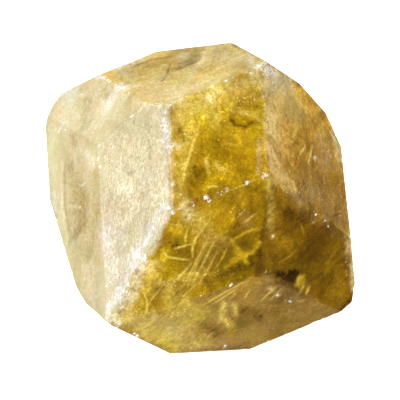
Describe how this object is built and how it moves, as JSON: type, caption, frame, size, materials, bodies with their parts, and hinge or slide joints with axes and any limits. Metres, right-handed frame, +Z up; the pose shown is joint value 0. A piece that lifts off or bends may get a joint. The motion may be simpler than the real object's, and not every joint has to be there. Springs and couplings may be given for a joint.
{
  "type": "polished garnet crystal",
  "caption": "Worn, polished garnet crystal with lozenge facets, softened edges and chips; rests on one flat facet.",
  "frame": {"origin": "on the surface the stone lies on, under the middle of its box", "axes": "+Z up out of the base facet, +X along the stone's longest extent, -Y towards the front facets"},
  "size_m": [0.026, 0.0242, 0.0208],
  "materials": {
    "garnet": "polished, clear yellow-green crystal with cloudy fractures"
  },
  "bodies": {
    "root": {"garnet": "garnet"}
  },
  "joints": []
}
